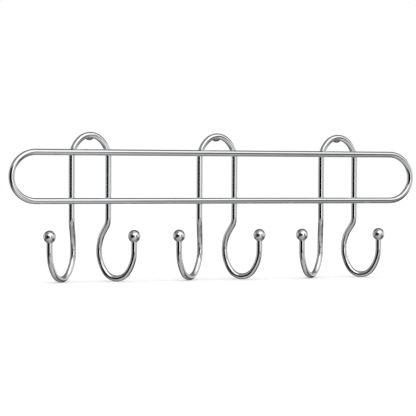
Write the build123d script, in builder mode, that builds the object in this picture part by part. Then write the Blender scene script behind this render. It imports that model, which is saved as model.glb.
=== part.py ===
from build123d import *
from math import cos, hypot, radians, sin, tan
import os

# Wall hook rack of bent round wire: a long flat loop in front, three hairpins welded behind it.
# Each hairpin is one wire: ball, hook, neck, leg, arch, leg, neck, hook, ball.
# X runs along the rack, the front faces -Y, Z is up. The origin is the middle hanging point,
# under the lug of the middle arch, where the screw in the wall bears.

# The loop and the hairpins are bent from one wire
WIRE = 5.8

# Loop
LOOP_LENGTH = 410.0
LOOP_HEIGHT = 51.0

# Hairpins
END_REACH = 79.0  # from the middle of an outer hairpin to the end of the loop
LEG_GAP = 35.5
WELD_SET = 0.5  # how far a leg sinks on to the loop's wire when it is welded

# Arch over the loop: two side arcs and a tighter top arc
ARCH_TOP = 38.8  # wire centre at the top of the arch, above the middle of the loop
ARCH_RISE = 21.8  # from the end of the straight leg to the top
ARCH_SHOULDER = 48.0  # degrees that each side arc turns

# Neck: the S bend that carries the wire back and inward below the loop
LEG_DROP = 38.5  # end of the straight leg, below the middle of the loop
NECK_BACK = 12.7
NECK_IN = 5.1
NECK_TOP_RADIUS = 13.0
NECK_LOW_RADIUS = 28.0
NECK_SLOPE = 40.0  # degrees from upright between its two bends

# Hook: a U in an upright plane that looks forward and outward
HOOK_TURN = 54.0  # degrees of that plane from straight forward
HOOK_SPREAD = 34.8
HOOK_DEPTH = 25.8
HOOK_SHOULDER = 37.0  # degrees that each side arc turns
TIP_RUN = 14.2  # from the end of the U to the centre of the ball

# Ball ends
BALL_DIAMETER = 12.0
SOCKET_DEPTH = 5.0

# Hanger lugs
LUG_RADIUS = 4.9
LUG_DEPTH = 5.0
LUG_SETBACK = 0.3  # from the wire's centre to the lug's front
LUG_FACE_EDGE = 2.4  # rounding of the front rim
LUG_BACK_EDGE = 0.8

wire_radius = WIRE / 2
leg_y = -LUG_SETBACK - LUG_DEPTH / 2
loop_y = leg_y - WIRE + WELD_SET
arch_z = LUG_RADIUS
loop_z = arch_z - ARCH_TOP
leg_end_z = loop_z - LEG_DROP
hairpin_pitch = LOOP_LENGTH / 2 - END_REACH

# Three-centred curves: the side arc's radius and the tight arc's follow from width, height and shoulder
arch_half = LEG_GAP / 2
arch_lift = (ARCH_RISE - arch_half) / (1 - tan(radians(ARCH_SHOULDER) / 2))
arch_side = arch_half + arch_lift / tan(radians(ARCH_SHOULDER))
arch_in = arch_side * (1 - cos(radians(ARCH_SHOULDER)))
arch_up = arch_side * sin(radians(ARCH_SHOULDER))

hook_half = HOOK_SPREAD / 2
hook_lift = (HOOK_DEPTH - hook_half) / (1 - tan(radians(HOOK_SHOULDER) / 2))
hook_side = hook_half + hook_lift / tan(radians(HOOK_SHOULDER))
hook_in = hook_side * (1 - cos(radians(HOOK_SHOULDER)))
hook_down = hook_side * sin(radians(HOOK_SHOULDER))

neck_offset = hypot(NECK_BACK, NECK_IN)
neck_top_out = NECK_TOP_RADIUS * (1 - cos(radians(NECK_SLOPE)))
neck_top_down = NECK_TOP_RADIUS * sin(radians(NECK_SLOPE))
neck_low_out = NECK_LOW_RADIUS * (1 - cos(radians(NECK_SLOPE)))
neck_low_down = NECK_LOW_RADIUS * sin(radians(NECK_SLOPE))
neck_run_out = neck_offset - neck_top_out - neck_low_out
neck_run_down = neck_run_out / tan(radians(NECK_SLOPE))

up = Vector(0, 0, 1)
neck_way = Vector(-NECK_IN, NECK_BACK, 0) / neck_offset
hook_way = Vector(sin(radians(HOOK_TURN)), -cos(radians(HOOK_TURN)), 0)

# Corner points of a hairpin's right half, measured from the hairpin's middle plane
arch_crown = Vector(0, leg_y, arch_z)
leg_top = Vector(arch_half, leg_y, arch_z - ARCH_RISE)
arch_shoulder = leg_top + up * arch_up - Vector(arch_in, 0, 0)
leg_end = Vector(arch_half, leg_y, leg_end_z)
neck_bend = leg_end + neck_way * neck_top_out - up * neck_top_down
neck_run = neck_bend + neck_way * neck_run_out - up * neck_run_down
hook_start = neck_run + neck_way * neck_low_out - up * neck_low_down
hook_shoulder = hook_start + hook_way * hook_in - up * hook_down
hook_far_shoulder = hook_start + hook_way * (HOOK_SPREAD - hook_in) - up * hook_down
hook_end = hook_start + hook_way * HOOK_SPREAD
ball_centre = hook_end + up * TIP_RUN
wire_end = ball_centre - up * (BALL_DIAMETER / 2 - SOCKET_DEPTH)

hairpin_places = {"left": -hairpin_pitch, "middle": 0.0, "right": hairpin_pitch}

os.makedirs("parts", exist_ok=True)

# The loop: one wire bent to a stadium, its butt weld ground flush
bend_radius = (LOOP_HEIGHT - WIRE) / 2
straight_half = LOOP_LENGTH / 2 - wire_radius - bend_radius
top_z = loop_z + bend_radius
bottom_z = loop_z - bend_radius
with BuildPart() as loop:
    with BuildLine() as loop_path:
        top_rail = Line((0, loop_y, top_z), (straight_half, loop_y, top_z))
        end_bend = TangentArc(top_rail @ 1, (straight_half, loop_y, bottom_z), tangent=top_rail % 1)
        bottom_rail = Line(end_bend @ 1, (0, loop_y, bottom_z))
        mirror(about=Plane.YZ)
    with BuildSketch(Plane(origin=top_rail @ 0, z_dir=top_rail % 0)):
        Circle(wire_radius)
    sweep(path=loop_path.wire())
loop.part.label = "loop"
export_step(loop.part, "parts/loop.step")

for place, hairpin_x in hairpin_places.items():
    shift = Vector(hairpin_x, 0, 0)

    # A hairpin, notched where its legs are welded to the loop
    with BuildPart() as hairpin:
        with BuildLine() as hairpin_path:
            crown = TangentArc(shift + arch_crown, shift + arch_shoulder, tangent=(1, 0, 0))
            arch_fall = TangentArc(crown @ 1, shift + leg_top, tangent=crown % 1)
            leg = Line(arch_fall @ 1, shift + leg_end)
            neck_upper = TangentArc(leg @ 1, shift + neck_bend, tangent=leg % 1)
            neck_slant = Line(neck_upper @ 1, shift + neck_run)
            neck_lower = TangentArc(neck_slant @ 1, shift + hook_start, tangent=neck_slant % 1)
            hook_back = TangentArc(neck_lower @ 1, shift + hook_shoulder, tangent=neck_lower % 1)
            hook_base = TangentArc(hook_back @ 1, shift + hook_far_shoulder, tangent=hook_back % 1)
            hook_front = TangentArc(hook_base @ 1, shift + hook_end, tangent=hook_base % 1)
            tip = Line(hook_front @ 1, shift + wire_end)
            mirror(about=Plane.YZ.offset(hairpin_x))
        with BuildSketch(Plane(origin=tip @ 1, z_dir=tip % 1)):
            Circle(wire_radius)
        sweep(path=hairpin_path.wire())
        add(loop.part, mode=Mode.SUBTRACT)
    hairpin.part.label = f"hairpin_{place}"
    export_step(hairpin.part, f"parts/hairpin_{place}.step")

    # Balls pressed on the two ends of the wire, each with a blind socket
    for side, turn in (("left", -1), ("right", 1)):
        with BuildPart() as ball:
            with Locations((hairpin_x + turn * ball_centre.X, ball_centre.Y, ball_centre.Z)):
                Sphere(BALL_DIAMETER / 2)
            with BuildSketch(Plane.XY.offset(wire_end.Z)):
                with Locations((hairpin_x + turn * ball_centre.X, ball_centre.Y)):
                    Circle(wire_radius)
            extrude(amount=-BALL_DIAMETER, mode=Mode.SUBTRACT)
        ball.part.label = f"ball_{place}_{side}"
        export_step(ball.part, f"parts/ball_{place}_{side}.step")

    # Half-round lug welded behind and under the top of the arch
    with BuildPart() as lug:
        with BuildSketch(Plane.XZ.offset(-leg_y - LUG_SETBACK)):
            with Locations((hairpin_x, arch_z)):
                Circle(LUG_RADIUS)
                Rectangle(2 * LUG_RADIUS, LUG_RADIUS, align=(Align.CENTER, Align.MIN), mode=Mode.SUBTRACT)
        extrude(amount=-LUG_DEPTH)
        fillet(lug.edges().group_by(Axis.Y)[0].filter_by(GeomType.CIRCLE), LUG_FACE_EDGE)
        fillet(lug.edges().group_by(Axis.Y)[-1].filter_by(GeomType.CIRCLE), LUG_BACK_EDGE)
        add(hairpin.part, mode=Mode.SUBTRACT)
    lug.part.label = f"lug_{place}"
    export_step(lug.part, f"parts/lug_{place}.step")
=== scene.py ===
"""Chromed wire hook rack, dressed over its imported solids.

Smooth bent wires, turned balls, lugs and weld beads in chrome plate, on a pale studio floor, seen
from the photograph's place.
"""
from math import atan2, ceil, cos, hypot, pi, radians, sin, sqrt, tan

import bpy
import numpy as np
from mathutils import Matrix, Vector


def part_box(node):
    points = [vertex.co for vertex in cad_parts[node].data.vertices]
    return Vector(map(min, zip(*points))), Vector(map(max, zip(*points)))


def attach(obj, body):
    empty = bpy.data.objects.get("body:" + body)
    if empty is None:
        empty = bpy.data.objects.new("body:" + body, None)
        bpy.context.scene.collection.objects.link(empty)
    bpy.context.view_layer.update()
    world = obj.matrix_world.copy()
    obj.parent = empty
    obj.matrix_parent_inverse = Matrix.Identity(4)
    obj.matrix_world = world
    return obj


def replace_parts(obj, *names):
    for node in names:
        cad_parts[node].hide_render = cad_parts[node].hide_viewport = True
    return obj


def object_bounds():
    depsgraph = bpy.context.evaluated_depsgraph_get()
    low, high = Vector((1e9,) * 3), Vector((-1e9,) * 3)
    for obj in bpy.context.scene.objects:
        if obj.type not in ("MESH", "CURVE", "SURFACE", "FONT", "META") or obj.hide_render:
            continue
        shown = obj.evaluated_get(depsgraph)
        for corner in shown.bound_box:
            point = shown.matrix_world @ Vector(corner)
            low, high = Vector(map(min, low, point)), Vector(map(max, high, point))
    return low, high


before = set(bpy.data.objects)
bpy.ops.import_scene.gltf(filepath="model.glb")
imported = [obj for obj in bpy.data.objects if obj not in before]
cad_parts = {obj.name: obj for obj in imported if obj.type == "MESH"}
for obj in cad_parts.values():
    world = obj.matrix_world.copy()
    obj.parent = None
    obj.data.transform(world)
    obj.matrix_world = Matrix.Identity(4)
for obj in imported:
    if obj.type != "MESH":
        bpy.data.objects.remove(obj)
cad_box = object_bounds()

MM = 0.001
X = np.array((1.0, 0.0, 0.0))
Y = np.array((0.0, 1.0, 0.0))
UP = np.array((0.0, 0.0, 1.0))
MIRROR = np.array((-1.0, 1.0, 1.0))
PLACES = ("left", "middle", "right")
SIDES = {"left": -1.0, "right": 1.0}

# The bends of a hairpin, as the rack is made
LEG_GAP = 35.5 * MM
WELD_SET = 0.5 * MM  # how far a leg sinks on to the loop's wire
ARCH_TOP = 38.8 * MM  # over the middle of the loop
ARCH_RISE = 21.8 * MM  # from the end of the straight leg to the top
ARCH_SHOULDER = radians(48.0)  # turn of each side arc
LEG_DROP = 38.5 * MM  # end of the straight leg, below the middle of the loop
NECK_BACK = 12.7 * MM
NECK_IN = 5.1 * MM
NECK_TOP_RADIUS = 13.0 * MM
NECK_LOW_RADIUS = 28.0 * MM
NECK_SLOPE = radians(40.0)  # from upright, between its two bends
HOOK_TURN = radians(54.0)  # of the hook's plane, outward from straight forward
HOOK_SPREAD = 34.8 * MM
HOOK_DEPTH = 25.8 * MM
HOOK_SHOULDER = radians(37.0)  # turn of each side arc
TIP_RUN = 14.2 * MM  # from the end of the U to the centre of the ball

# Balls, lugs and weld beads
BALL_NECK = 0.6 * MM  # radius of the hollow rim where a ball sits on its wire
BALL_FOOT = 0.8  # ring that closes a ball inside its wire, as a share of the wire's radius
BALL_FOOT_DROP = 0.1 * MM  # of that ring, below the rim
BALL_TOP = radians(2.0)  # how near to the top of the ball its last ring comes
LUG_DEPTH = 5.0 * MM
LUG_FRONT_EDGE = 2.4 * MM
LUG_BACK_EDGE = 0.8 * MM
WELD_GAP = 0.35 * MM  # gap between leg and rail that the weld has filled
WELD_WAIST = 0.94  # a bead's waist, as a share of its oval
WELD_FLARE = 0.12  # how much wider it is at the two wires
WELD_ROOT = 0.6  # rings that close it inside the wires, as a share of its ends
WELD_HAZE = 3.5 * MM  # how far the plating is dulled round a weld

# Fineness of the meshes
RING_STEPS = 48
STEP_ANGLE = radians(2.5)
STEP_LENGTH = 2.5 * MM
RIM_STEPS = 9
BALL_STEPS = 45
EDGE_STEPS = 8
LUG_ARC_STEPS = 33
LUG_FLAT_STEPS = 17
WELD_STEPS = 9
SHARP_ANGLE = radians(40.0)

# Patterns of the chrome plate, in waves to the metre
DRAWN_SCALE = (3000.0, 30.0, 1.0)  # drawing marks, round the wire and along it
SMEAR_SCALE = 70.0
WAVE_SCALE = 260.0
GRAIN_SCALE = 1500.0
SMEAR_EDGE = (0.45, 0.75)  # noise at which a smear begins and is full

# What the patterns do: shares of the dull colour, roughness added, and height of the bump
WELD_DULL = 0.6
SMEAR_DULL = 0.12
SMEAR_ROUGH = 0.03
WELD_ROUGH = 0.22
DRAWN_HEIGHT = 0.2
WELD_HEIGHT = 0.6
BUMP_STRENGTH = 0.08
BUMP_DISTANCE = 0.1 * MM

# The photograph's camera: it stands to the rack's left and looks to the right by its yaw
CAMERA_YAW = radians(19.93)
CAMERA_PITCH = radians(1.23)  # down
CAMERA_ROLL = radians(-0.25)
CAMERA_AIM = np.array((-11.03, -8.05, -63.38)) * MM
CAMERA_DISTANCE = 1.6645
CAMERA_LENS = 151.4  # mm, for a frame of FRAME_WIDTH
FRAME_WIDTH = 36.0

# What the chrome mirrors: soft-edged cards of light and shade that stand round the rack. A card is
# its level, its bearing from and to, its height from and to, and half the width of its soft edge,
# in degrees. Bearings are counted at the rack, from the camera towards the right of the picture, and
# one of 200 lies past straight behind. A later card stands before the earlier ones.
FLOOR_LEVEL = 0.40
CARDS = (
    (0.62, -180.0, 180.0, -14.0, 100.0, 8.0),  # room, from just under the horizon up
    (0.32, -115.0, -15.0, 26.0, 76.0, 8.0),  # dimmer upper left
    (1.40, -22.0, 40.0, 11.0, 62.0, 6.0),  # overhead soft light
    (1.35, 20.0, 70.0, 32.0, 60.0, 4.0),  # its right wing, the white band on the rails
    (0.54, -32.0, 34.0, -66.0, -12.0, 8.0),  # pale floor before the rack
    (0.32, -108.0, -56.0, -58.0, -32.0, 6.0),  # dim floor at the left
    (0.85, 6.0, 32.0, -24.0, -6.0, 4.0),  # lighter floor just below eye level
    (0.85, 70.0, 95.0, 28.0, 62.0, 5.0),  # light wall, high right
    (1.00, 51.0, 79.0, 7.0, 32.0, 5.0),  # light wall, right
    (0.55, 28.0, 60.0, -46.0, -12.0, 5.0),  # grey floor, the lower band on the rails
    (0.66, 28.0, 46.0, -56.0, -30.0, 5.0),  # its lighter left part
    (0.82, 50.0, 78.0, -17.0, -6.0, 4.0),  # light low right
    (0.15, 38.0, 51.0, -24.0, 15.0, 4.0),  # dark upright, the dark line along the rails
    (0.05, 32.0, 46.0, -14.0, 14.0, 3.0),  # its darker side, for the rails' left part
    (0.12, 58.0, 106.0, -60.0, -16.0, 7.0),  # dim floor at the right
    (2.50, 8.0, 32.5, -4.5, 6.0, 2.0),  # bright strip at eye level, the legs' highlight
    (0.70, 34.0, 37.0, -4.2, 0.9, 0.8),  # pale slit in the dark upright, beside the strip
    (0.14, -90.0, -30.0, -12.0, 27.0, 7.0),  # soft dark left
    (0.06, -85.0, -12.0, -32.0, -8.0, 6.0),  # dark floor before it
    (0.002, -56.0, -6.0, -14.0, 22.0, 3.0),  # black flag, the legs' dark line
    (0.002, -52.0, 8.0, -12.0, 12.0, 3.0),  # its first step to the right
    (0.002, -50.0, 18.5, -7.0, 5.0, 3.0),  # its second step
    (0.85, 108.0, 200.0, -18.0, 20.0, 5.0),  # light behind at eye level, right
    (0.50, -200.0, -118.0, -18.0, 20.0, 5.0),  # the same, left
    (0.11, 94.0, 200.0, 24.0, 80.0, 5.0),  # dim behind, high right, the wires' upper rims
    (0.11, -200.0, -94.0, 24.0, 80.0, 5.0),  # the same, high left
    (0.24, 94.0, 200.0, -84.0, -22.0, 5.0),  # dim behind, low right, the wires' lower rims
    (0.24, -200.0, -88.0, -84.0, -22.0, 5.0),  # the same, low left
    (0.06, 94.0, 200.0, -44.0, -22.0, 5.0),  # its darker upper part, right
    (0.06, -200.0, -88.0, -44.0, -22.0, 5.0),  # the same, left
)

# The floor, and the light that it has
FLOOR_HALF = 6.0
FLOOR_PALE = 0.75
ROOM_LIGHT = 1.0  # even light of the room, for all that isn't mirrored
KEY_LIGHT = 1.75
KEY_WIDTH = radians(110.0)
KEY_HEIGHT = radians(65.0)
KEY_BEARING = radians(40.0)  # to the camera's right

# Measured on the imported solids
loop_low, loop_high = (np.array(corner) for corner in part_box("loop"))
loop_middle = (loop_low + loop_high) / 2
wire = loop_high[1] - loop_low[1]
wire_radius = wire / 2
rail_rise = (loop_high[2] - loop_low[2] - wire) / 2
leg_y = loop_middle[1] + wire - WELD_SET
arch_z = loop_middle[2] + ARCH_TOP
hairpin_x = {place: sum(np.array(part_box(f"hairpin_{place}"))[:, 0]) / 2 for place in PLACES}


def three_centred(half, height, shoulder):
    """Radii of the side arcs and of the tight arc of a curve that spans 2 * half and rises by height.

    The tight arc's centre is lifted over the base by (height - half) / (1 - tan(shoulder / 2)). A
    line through it at the shoulder's angle meets the base in the side arc's centre.
    """
    lift = (height - half) / (1 - tan(shoulder / 2))
    return half + lift / tan(shoulder), height - lift


arch_side, arch_crown = three_centred(LEG_GAP / 2, ARCH_RISE, ARCH_SHOULDER)


def leg_crossings():
    """Name, centre and lean of each joint where a leg passes behind a rail.

    The upper rail lies over the end of the straight leg by a height h. There the wire is on the
    arch's side arc: it leans inward by asin(h / radius) and has come in by radius * (1 - cos lean).
    """
    joint_y = loop_middle[1] + wire_radius
    lean_height = max(loop_middle[2] + rail_rise - (arch_z - ARCH_RISE), 0.0)
    lean = np.arcsin(lean_height / arch_side)
    inset = arch_side * (1 - cos(lean))
    rails = (("upper", rail_rise, lean, inset), ("lower", -rail_rise, 0.0, 0.0))
    crossings = []
    for place in PLACES:
        for side, turn in SIDES.items():
            for rail, rise, lean_here, inset_here in rails:
                joint_x = hairpin_x[place] + turn * (LEG_GAP / 2 - inset_here)
                joint = np.array((joint_x, joint_y, loop_middle[2] + rise))
                crossings.append((f"{place}_{side}_{rail}", joint, -turn * lean_here))
    return crossings


crossings = leg_crossings()
weld_centres = np.array([joint for _, joint, _ in crossings])


def weld_haze(points):
    """1 at a weld, falling off round it as a bell curve of the distance to the nearest one."""
    nearest = np.linalg.norm(points[:, None] - weld_centres[None], axis=2).min(axis=1)
    return np.exp(-((nearest / WELD_HAZE) ** 2)).astype(np.float32)


def skin(name, rings, finish, outward=None, closed=False):
    """A piece of the rack from rings of points: quads from each ring to the next, and flat end caps.

    On a closed piece the last ring goes on to the first and there are no caps. The UV map gives
    metres round the ring and metres along the middle of the rings. Without exact outward normals,
    edges over SHARP_ANGLE stay sharp.
    """
    count, steps = rings.shape[:2]
    bands = count if closed else count - 1
    ring = np.arange(bands)[:, None] * steps
    after = (np.arange(1, bands + 1)[:, None] % count) * steps
    spot = np.arange(steps)[None]
    beside = (spot + 1) % steps
    quads = np.stack((ring + spot, ring + beside, after + beside, after + spot), -1).reshape(-1)
    caps = np.empty(0, int)
    if not closed:
        caps = np.concatenate((np.arange(steps)[::-1], np.arange(steps) + bands * steps))
    corners = np.concatenate((quads, caps))
    cap_starts = len(quads) + np.arange(len(caps) // steps) * steps
    starts = np.concatenate((np.arange(bands * steps) * 4, cap_starts))

    middle = rings.mean(axis=1)
    gaps = np.linalg.norm(np.roll(middle, -1, axis=0) - middle, axis=1)[:bands]
    along = np.concatenate(((0.0,), np.cumsum(gaps)))
    edges = np.linalg.norm(np.roll(rings, -1, axis=1) - rings, axis=2)
    edge = edges.sum(axis=1).max() / steps
    corner_u = np.stack((spot, spot + 1, spot + 1, spot), -1) * edge
    corner_v = np.stack((along[:-1], along[:-1], along[1:], along[1:]), -1)[:, None]
    u = np.broadcast_to(corner_u, (bands, steps, 4))
    v = np.broadcast_to(corner_v, (bands, steps, 4))
    uv = np.concatenate((np.stack((u, v), -1).reshape(-1, 2), np.zeros((len(caps), 2))))

    mesh = bpy.data.meshes.new(name)
    mesh.vertices.add(count * steps)
    mesh.vertices.foreach_set("co", rings.reshape(-1))
    mesh.loops.add(len(corners))
    mesh.loops.foreach_set("vertex_index", corners.astype(np.int32))
    mesh.polygons.add(len(starts))
    mesh.polygons.foreach_set("loop_start", starts.astype(np.int32))
    mesh.uv_layers.new(name="wire").data.foreach_set("uv", uv.reshape(-1))
    weld = mesh.attributes.new("weld", "FLOAT", "POINT")
    weld.data.foreach_set("value", weld_haze(rings.reshape(-1, 3)))
    mesh.update(calc_edges=True)
    mesh.polygons.foreach_set("use_smooth", np.ones(len(starts), bool))
    if outward is None:
        mesh.set_sharp_from_angle(angle=SHARP_ANGLE)
    else:
        mesh.normals_split_custom_set_from_vertices(outward.reshape(-1, 3))
    mesh.materials.append(finish)
    piece = bpy.data.objects.new(name, mesh)
    bpy.context.scene.collection.objects.link(piece)
    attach(piece, "root")
    return piece


def wire_route(start, heading, ring_axis, runs):
    """Points, headings and ring axes along a wire that is fed and bent, run by run.

    A run is its length, the angle that it turns and the axis that it turns about. At the share s
    of a run, the heading t has turned by a = s * angle towards n = axis x t. The wire has gone
    length * s * sinc(a) along t and length * s * sin(a / 2) * sinc(a / 2) along n, which is a
    straight line where the angle is 0. The ring axis turns about the same axis by a, so that the
    rings never twist round the wire.
    """
    points, headings, axes = [start[None]], [heading[None]], [ring_axis[None]]
    for length, angle, axis in runs:
        t, u, n = headings[-1][-1], axes[-1][-1], np.cross(axis, headings[-1][-1])
        steps = max(ceil(angle / STEP_ANGLE), ceil(length / STEP_LENGTH))
        share = np.linspace(0, 1, steps + 1)[1:, None]
        a = share * angle
        along = length * share * np.sinc(a / pi)
        aside = length * share * np.sin(a / 2) * np.sinc(a / 2 / pi)
        points.append(points[-1][-1] + along * t + aside * n)
        headings.append(np.cos(a) * t + np.sin(a) * n)
        axes.append(np.dot(u, axis) * axis + np.dot(u, n) * (np.cos(a) * n - np.sin(a) * t)
                    + np.dot(u, t) * (np.cos(a) * t + np.sin(a) * n))
    return np.vstack(points), np.vstack(headings), np.vstack(axes)


def wire_rings(points, headings, axes):
    """Rings of the round wire, and their outward normals.

    With u the ring axis, v = heading x u and p once round, a ring is its centre plus the wire's
    radius * (cos p * u + sin p * v).
    """
    p = np.linspace(0, 2 * pi, RING_STEPS, endpoint=False)[:, None]
    outward = np.cos(p) * axes[:, None] + np.sin(p) * np.cross(headings, axes)[:, None]
    return points[:, None] + wire_radius * outward, outward


def make_loop(finish):
    """The front loop: a straight rail above and below, half a turn round each end, and no end."""
    end_x = loop_high[0] - wire_radius - rail_rise
    rail = 2 * (end_x - loop_middle[0])
    runs = ((rail, 0.0, Y), (pi * rail_rise, pi, Y), (rail, 0.0, Y), (pi * rail_rise, pi, Y))
    start = loop_middle + np.array((-rail / 2, 0.0, rail_rise))
    points, headings, axes = (line[:-1] for line in wire_route(start, X, Y, runs))
    rings, outward = wire_rings(points, headings, axes)
    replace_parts(skin("loop_wire", rings, finish, outward, closed=True), "loop")


def hairpin_half():
    """Right half of a hairpin, from the top of its arch to the wire's end in the ball.

    Its runs are the arch's tight and side arc, the leg, the two bends of the neck with a slant
    between them, the three arcs of the hook and its straight tip.
    """
    hook_side, hook_base = three_centred(HOOK_SPREAD / 2, HOOK_DEPTH, HOOK_SHOULDER)
    neck_offset = hypot(NECK_BACK, NECK_IN)
    neck_axis = np.cross(-UP, np.array((-NECK_IN, NECK_BACK, 0.0)) / neck_offset)
    hook_axis = np.cross(-UP, np.array((sin(HOOK_TURN), -cos(HOOK_TURN), 0.0)))
    neck_bends = (NECK_TOP_RADIUS + NECK_LOW_RADIUS) * (1 - cos(NECK_SLOPE))
    neck_slant = (neck_offset - neck_bends) / sin(NECK_SLOPE)
    leg = ARCH_TOP - ARCH_RISE + LEG_DROP
    crown_turn = pi / 2 - ARCH_SHOULDER
    base_turn = pi - 2 * HOOK_SHOULDER
    runs = (
        (arch_crown * crown_turn, crown_turn, Y),
        (arch_side * ARCH_SHOULDER, ARCH_SHOULDER, Y),
        (leg, 0.0, Y),
        (NECK_TOP_RADIUS * NECK_SLOPE, NECK_SLOPE, neck_axis),
        (neck_slant, 0.0, neck_axis),
        (NECK_LOW_RADIUS * NECK_SLOPE, NECK_SLOPE, -neck_axis),
        (hook_side * HOOK_SHOULDER, HOOK_SHOULDER, hook_axis),
        (hook_base * base_turn, base_turn, hook_axis),
        (hook_side * HOOK_SHOULDER, HOOK_SHOULDER, hook_axis),
        (TIP_RUN, 0.0, Y),
    )
    return wire_route(np.array((0.0, leg_y, arch_z)), X, Y, runs)


def make_hairpin(place, right_half, finish):
    """A whole hairpin: the mirror image of its right half, run backwards, and then that half."""
    points, headings, axes = right_half
    whole = np.vstack(((points * MIRROR)[:0:-1], points)) + X * hairpin_x[place]
    whole_headings = np.vstack(((-headings * MIRROR)[:0:-1], headings))
    whole_axes = np.vstack(((axes * MIRROR)[:0:-1], axes))
    rings, outward = wire_rings(whole, whole_headings, whole_axes)
    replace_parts(skin(f"hairpin_wire_{place}", rings, finish, outward), f"hairpin_{place}")


def make_ball(node, centre, radius, finish):
    """A turned ball: a hollow rim up from the wire, then the sphere, carried round the upright axis.

    The rim is an arc of BALL_NECK that touches the wire and the sphere, so its centre lies that far
    outside both. A smaller ring inside the wire closes the ball below.
    """
    rim_out = wire_radius + BALL_NECK
    rim_down = sqrt((radius + BALL_NECK) ** 2 - rim_out ** 2)
    meet = atan2(rim_out, rim_down)
    rim = np.linspace(pi, pi / 2 + meet, RIM_STEPS)
    ball = np.linspace(meet, pi - BALL_TOP, BALL_STEPS)[1:]
    foot_out = (BALL_FOOT * wire_radius,)
    foot_rise = (-rim_down - BALL_FOOT_DROP,)
    out = np.concatenate((foot_out, rim_out + BALL_NECK * np.cos(rim), radius * np.sin(ball)))
    rise = np.concatenate((foot_rise, -rim_down + BALL_NECK * np.sin(rim), -radius * np.cos(ball)))
    slant_out = np.concatenate(((1.0,), -np.cos(rim), np.sin(ball)))
    slant_up = np.concatenate(((0.0,), -np.sin(rim), -np.cos(ball)))
    p = np.linspace(0, 2 * pi, RING_STEPS, endpoint=False)[:, None]
    spoke = np.cos(p) * X + np.sin(p) * Y
    rings = centre + out[:, None, None] * spoke + rise[:, None, None] * UP
    outward = slant_out[:, None, None] * spoke + slant_up[:, None, None] * UP
    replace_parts(skin(f"{node}_turned", rings, finish, outward), node)


def make_lug(place, finish):
    """A half-round lug: a half disc with its flat side up, carried from front to back.

    At the front and at the back the disc shrinks by a quarter round of that edge's radius.
    """
    low, high = (np.array(corner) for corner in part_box(f"lug_{place}"))
    radius = high[2] - low[2]
    quarter = np.linspace(0, pi / 2, EDGE_STEPS)
    front_inset = LUG_FRONT_EDGE * (1 - np.sin(quarter))
    back_inset = LUG_BACK_EDGE * (1 - np.cos(quarter))
    front_depth = LUG_DEPTH - LUG_FRONT_EDGE * (1 - np.cos(quarter))
    back_depth = LUG_BACK_EDGE * (1 - np.sin(quarter))
    inset = np.concatenate((front_inset, back_inset))
    depth = high[1] - np.concatenate((front_depth, back_depth))
    p = np.linspace(pi / 2, 3 * pi / 2, LUG_ARC_STEPS)
    flat = np.linspace(-1.0, 1.0, LUG_FLAT_STEPS)[1:-1]
    across = np.concatenate((np.sin(p), flat))
    upward = np.concatenate((np.cos(p), 0 * flat))
    size = (radius - inset)[:, None, None]
    middle = np.array(((low[0] + high[0]) / 2, 0.0, high[2]))
    rings = middle + depth[:, None, None] * Y + size * (across[:, None] * X + upward[:, None] * UP)
    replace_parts(skin(f"lug_{place}_rounded", rings, finish), f"lug_{place}")


def make_weld(name, joint, lean, finish):
    """The bead of a weld: a collar round the joint whose waist is drawn in between rail and leg.

    Off its crest a wire falls back by distance ** 2 / wire. So the oval on which the two wires have
    come apart by WELD_GAP reaches sqrt((WELD_GAP + WELD_SET) * wire / (leg_x ** 2 + rail_z ** 2)),
    with leg_x and rail_z the shares of the reach that go off the leg and off the rail. Across, the
    share s runs from the rail's surface to the leg's, and the bead is widest at both.
    """
    p = np.linspace(0, 2 * pi, RING_STEPS, endpoint=False)
    share = np.linspace(0, 1, WELD_STEPS)[:, None]
    leg_x = np.sin(p - lean)
    rail_z = np.cos(p)
    oval = np.sqrt((WELD_GAP + WELD_SET) * wire / (leg_x ** 2 + rail_z ** 2))
    reach = oval * (WELD_WAIST + WELD_FLARE * (2 * share - 1) ** 2)
    on_rail = loop_middle[1] + np.sqrt(wire_radius ** 2 - (reach * rail_z) ** 2)
    on_leg = leg_y - np.sqrt(wire_radius ** 2 - (reach * leg_x) ** 2)
    depth = on_rail * (1 - share) + on_leg * share
    reach = np.vstack((reach[:1] * WELD_ROOT, reach, reach[-1:] * WELD_ROOT))
    depth = np.vstack((depth[:1] - WELD_SET, depth, depth[-1:] + WELD_SET))
    rings = np.stack((joint[0] + reach * np.sin(p), depth, joint[2] + reach * np.cos(p)), -1)
    skin(f"weld_{name}", rings, finish)


class Signal:
    """An output in a shader. An operator on it adds a Math node, and add makes any other node."""

    def __init__(self, tree, socket=None):
        self.tree = tree
        self.socket = socket

    def add(self, kind, settings, values, output=0):
        """A node of that kind: its settings first, then the values or links of its sockets."""
        node = self.tree.nodes.new(kind)
        for key, value in settings.items():
            setattr(node, key, value)
        for key, value in values.items():
            if isinstance(value, Signal):
                self.tree.links.new(value.socket, node.inputs[key])
            else:
                node.inputs[key].default_value = value
        return Signal(self.tree, node.outputs[output])

    def noise(self, vector, scale, detail):
        """Smooth noise of that scale, with finer noise added in octaves up to detail."""
        values = {"Vector": vector, "Scale": scale, "Detail": detail}
        return self.add("ShaderNodeTexNoise", {}, values)

    def math(self, operation, *values):
        """A Math node of that operation."""
        return self.add("ShaderNodeMath", {"operation": operation}, dict(enumerate(values)))

    def __add__(self, other):
        return self.math("ADD", self, other)

    def __radd__(self, other):
        return self.math("ADD", other, self)

    def __rsub__(self, other):
        return self.math("SUBTRACT", other, self)

    def __mul__(self, other):
        return self.math("MULTIPLY", self, other)

    def __rmul__(self, other):
        return self.math("MULTIPLY", other, self)

    def smooth(self, low, high):
        """0 below low, 1 above high and a soft step between."""
        settings = {"interpolation_type": "SMOOTHSTEP"}
        values = {"Value": self, "From Min": low, "From Max": high}
        return self.add("ShaderNodeMapRange", settings, values)


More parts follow.
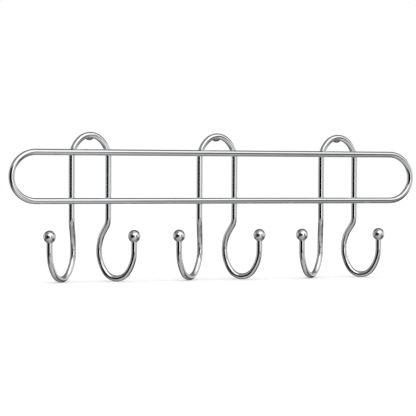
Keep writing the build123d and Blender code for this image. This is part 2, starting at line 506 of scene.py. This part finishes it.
def chrome(name, bright, dull, polish, streak, ripple):
    """Chrome plate: drawing marks along the wire, faint smears, a slight ripple and dulled welds.

    Smears and welds mix the bright colour with the dull one. Its roughness is polish, that of the
    clean plate, plus streak * marks, the smears and the welds' grain. Its height is ripple * waves
    plus the marks and the grain.
    """
    material = bpy.data.materials.new(name)
    material.use_nodes = True
    tree = material.node_tree
    shader = tree.nodes["Principled BSDF"]
    shader.inputs["Metallic"].default_value = 1.0
    net = Signal(tree)
    place = net.add("ShaderNodeTexCoord", {}, {}, "Object")
    unrolled = net.add("ShaderNodeUVMap", {"uv_map": "wire"}, {}, "UV")
    weld = net.add("ShaderNodeAttribute", {"attribute_name": "weld"}, {}, "Fac")
    drawn = net.add("ShaderNodeMapping", {}, {"Vector": unrolled, "Scale": DRAWN_SCALE})
    marks = net.noise(drawn, 1.0, 2.0)
    smears = net.noise(place, SMEAR_SCALE, 4.0).smooth(*SMEAR_EDGE)
    waves = net.noise(place, WAVE_SCALE, 1.0)
    grain = net.noise(place, GRAIN_SCALE, 3.0)
    dulled = weld * WELD_DULL + smears * SMEAR_DULL
    colour = net.add("ShaderNodeMix", {"data_type": "RGBA"},
                     {"Factor": dulled, 6: (*bright, 1.0), 7: (*dull, 1.0)}, 2)
    roughness = polish + marks * streak + smears * SMEAR_ROUGH + weld * grain * WELD_ROUGH
    height = waves * ripple + marks * streak * DRAWN_HEIGHT + weld * grain * WELD_HEIGHT
    relief = {"Strength": BUMP_STRENGTH, "Distance": BUMP_DISTANCE, "Height": height}
    bump = net.add("ShaderNodeBump", {}, relief, "Normal")
    tree.links.new(colour.socket, shader.inputs["Base Color"])
    tree.links.new(roughness.socket, shader.inputs["Roughness"])
    tree.links.new(bump.socket, shader.inputs["Normal"])
    return material


def make_floor():
    """The pale floor that the hooks just touch: a wide square without a sheen."""
    low = cad_box[0][2]
    corners = [(-FLOOR_HALF, -FLOOR_HALF, low), (FLOOR_HALF, -FLOOR_HALF, low),
               (FLOOR_HALF, FLOOR_HALF, low), (-FLOOR_HALF, FLOOR_HALF, low)]
    mesh = bpy.data.meshes.new("floor")
    mesh.from_pydata(corners, [], [(0, 1, 2, 3)])
    material = bpy.data.materials.new("white_floor")
    material.use_nodes = True
    shader = material.node_tree.nodes["Principled BSDF"]
    shader.inputs["Base Color"].default_value = (FLOOR_PALE, FLOOR_PALE, FLOOR_PALE, 1.0)
    shader.inputs["Roughness"].default_value = 1.0
    shader.inputs["Specular IOR Level"].default_value = 0.0
    mesh.materials.append(material)
    floor = bpy.data.objects.new("floor", mesh)
    bpy.context.scene.collection.objects.link(floor)
    floor.visible_glossy = False


def make_studio():
    """A white room that lights the floor evenly, a soft key light, and the cards in the chrome.

    Turned to the camera, a direction has its bearing and its height in degrees. Each card covers a
    window of both with soft edges, and only mirrored rays see it.
    """
    world = bpy.data.worlds.new("studio")
    world.use_nodes = True
    bpy.context.scene.world = world
    tree = world.node_tree
    net = Signal(tree)
    way = net.add("ShaderNodeTexCoord", {}, {}, "Generated")
    turned = net.add("ShaderNodeVectorRotate", {"rotation_type": "Z_AXIS"},
                     {"Vector": way, "Angle": CAMERA_YAW})
    aside, away, upward = (
        net.add("ShaderNodeSeparateXYZ", {}, {"Vector": turned}, axis) for axis in "XYZ")
    bearing = net.math("ARCTAN2", aside, away * -1.0) * (180 / pi)
    height = net.math("ARCSINE", upward) * (180 / pi)

    def window(angle, low, high, soft):
        """1 between low and high, 0 outside, with soft steps."""
        return angle.smooth(low - soft, low + soft) * (1.0 - angle.smooth(high - soft, high + soft))

    level = FLOOR_LEVEL
    for card, left, right, low, high, soft in CARDS:
        cover = window(height, low, high, soft)
        if right - left < 360.0:
            cover = cover * window(bearing, left, right, soft)
        level = level + (card - level) * cover

    mirrored = net.add("ShaderNodeLightPath", {}, {}, "Is Glossy Ray")
    strength = mirrored * level + (1.0 - mirrored) * ROOM_LIGHT
    background = tree.nodes["Background"]
    background.inputs["Color"].default_value = (1.0, 1.0, 1.0, 1.0)
    tree.links.new(strength.socket, background.inputs["Strength"])

    light = bpy.data.lights.new("key_light", "SUN")
    light.energy = KEY_LIGHT
    light.angle = KEY_WIDTH
    key = bpy.data.objects.new("key_light", light)
    key.rotation_euler = (pi / 2 - KEY_HEIGHT, 0.0, KEY_BEARING - CAMERA_YAW)
    key.visible_glossy = False
    bpy.context.scene.collection.objects.link(key)


def make_camera():
    """The photograph's camera: it looks along its yaw and pitch at the aim, rolled about that line."""
    ahead = np.array((sin(CAMERA_YAW), cos(CAMERA_YAW), 0.0))
    forward = cos(CAMERA_PITCH) * ahead - sin(CAMERA_PITCH) * UP
    level = np.array((cos(CAMERA_YAW), -sin(CAMERA_YAW), 0.0))
    down = np.cross(forward, level)
    right = cos(CAMERA_ROLL) * level + sin(CAMERA_ROLL) * down
    top = sin(CAMERA_ROLL) * level - cos(CAMERA_ROLL) * down
    eye = CAMERA_AIM - CAMERA_DISTANCE * forward
    data = bpy.data.cameras.new("camera")
    data.lens = CAMERA_LENS
    data.sensor_width = FRAME_WIDTH
    camera = bpy.data.objects.new("camera", data)
    bpy.context.scene.collection.objects.link(camera)
    place = Matrix.Identity(4)
    for column, axis in enumerate((right, top, -forward, eye)):
        place.col[column][:3] = axis
    camera.matrix_world = place
    bpy.context.scene.camera = camera


wire_chrome = chrome("wire_chrome", bright=(0.80, 0.81, 0.82), dull=(0.60, 0.60, 0.61),
                     polish=0.03, streak=0.03, ripple=0.5)
ball_chrome = chrome("ball_chrome", bright=(0.82, 0.83, 0.84), dull=(0.64, 0.64, 0.65),
                     polish=0.025, streak=0.0, ripple=0.3)
# The lug's plate is far darker than the wire's: painted shade for the shade that falls on the lug
# under the arch's wire.
lug_painted_shade_chrome = chrome("lug_painted_shade_chrome", bright=(0.34, 0.34, 0.35), dull=(0.26, 0.26, 0.26),
                    polish=0.14, streak=0.0, ripple=0.8)
weld_chrome = chrome("weld_chrome", bright=(0.72, 0.72, 0.73), dull=(0.55, 0.55, 0.55),
                     polish=0.12, streak=0.0, ripple=1.5)

make_loop(wire_chrome)
right_half = hairpin_half()
for place in PLACES:
    make_hairpin(place, right_half, wire_chrome)
    make_lug(place, lug_painted_shade_chrome)
    for side in SIDES:
        low, high = (np.array(corner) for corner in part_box(f"ball_{place}_{side}"))
        radius = (high[1] - low[1]) / 2
        centre = np.array(((low[0] + high[0]) / 2, (low[1] + high[1]) / 2, high[2] - radius))
        make_ball(f"ball_{place}_{side}", centre, radius, ball_chrome)
for name, joint, lean in crossings:
    make_weld(name, joint, lean, weld_chrome)

make_floor()
make_studio()
make_camera()
bpy.context.scene.view_settings.view_transform = "Standard"
